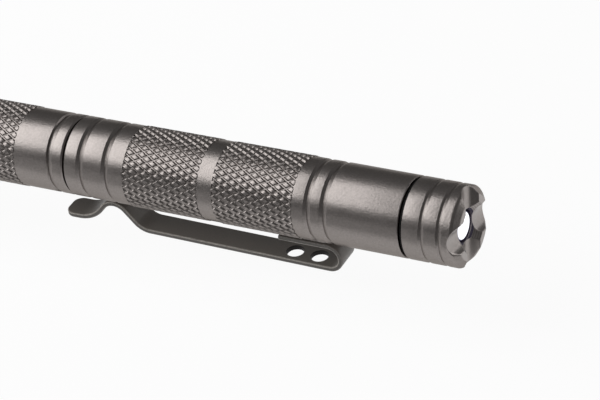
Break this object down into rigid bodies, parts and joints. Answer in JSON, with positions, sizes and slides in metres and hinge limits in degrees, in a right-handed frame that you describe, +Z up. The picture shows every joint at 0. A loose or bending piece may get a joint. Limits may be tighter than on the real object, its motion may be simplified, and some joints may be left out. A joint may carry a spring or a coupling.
{
  "type": "tactical pen flashlight",
  "caption": "Knurled aluminium tactical pen: its screw-on cap carries a folded pocket clip and a twist-on LED lamp head with a notched crown; the tail ends in a glass breaker.",
  "frame": {"origin": "under the middle of the capped pen's length, at the height of the clip's back, with the clip hanging straight down", "axes": "+X along the pen towards the lamp, +Z up and away from the clip, +Y across"},
  "size_m": [0.1552, 0.013, 0.0185],
  "materials": {
    "anodised": "satin gunmetal anodising",
    "clip_steel": "matte dark coating",
    "screw_steel": "bright",
    "spring_steel": "bright wire",
    "cell_steel": "plated",
    "insulation": "moulded",
    "seal_rubber": "moulded",
    "led_epoxy": "clear dome, lit",
    "board": "solder mask",
    "brass": "turned",
    "refill_steel": "drawn tube",
    "carbide": "ground"
  },
  "bodies": {
    "cap": {"lamp_barrel": "anodised", "clip_foot": "clip_steel", "clip_screws": "screw_steel", "cell_spring": "spring_steel", "button_cells": "cell_steel", "cell_sleeve": "insulation"},
    "clip": {"clip_arm": "clip_steel"},
    "head_ring": {"head_seal_ring": "seal_rubber"},
    "head": {"lamp_head": "anodised", "led_lamp": "led_epoxy", "led_leads": "spring_steel", "led_holder": "insulation", "led_board": "board", "contact_stud": "brass"},
    "pen_ring": {"thread_seal_ring": "seal_rubber"},
    "pen": {"pen_barrel": "anodised", "writing_nose": "anodised", "refill_tube": "refill_steel", "refill_tip": "brass", "refill_spring": "spring_steel", "tail_cap": "anodised", "tail_seal_ring": "seal_rubber", "breaker_tip": "carbide"}
  },
  "joints": [
    {"name": "clip_flex", "type": "hinge", "parent": "cap", "child": "clip", "pos_m": [0.05294, 0, 0.00255], "axis": [0, -1, 0], "range_deg": [0, 6], "stiffness_Nm_per_rad": 2, "springref_deg": -1.15},
    {"name": "head_advance", "type": "slide", "parent": "cap", "child": "head_ring", "axis": [1, 0, 0], "range_m": [0, 0.00075]},
    {"name": "head_twist", "type": "hinge", "parent": "head_ring", "child": "head", "pos_m": [0, 0, 0.012], "axis": [1, 0, 0], "range_deg": [0, 360]},
    {"name": "pen_draw", "type": "slide", "parent": "cap", "child": "pen_ring", "axis": [-1, 0, 0], "range_m": [0, 0.046]},
    {"name": "pen_unscrew", "type": "hinge", "parent": "pen_ring", "child": "pen", "pos_m": [0, 0, 0.012], "axis": [1, 0, 0], "continuous": true}
  ],
  "couplings": [
    {"joint": "head_advance", "follows": "head_twist", "m_per_rad": 0.00011936}
  ]
}
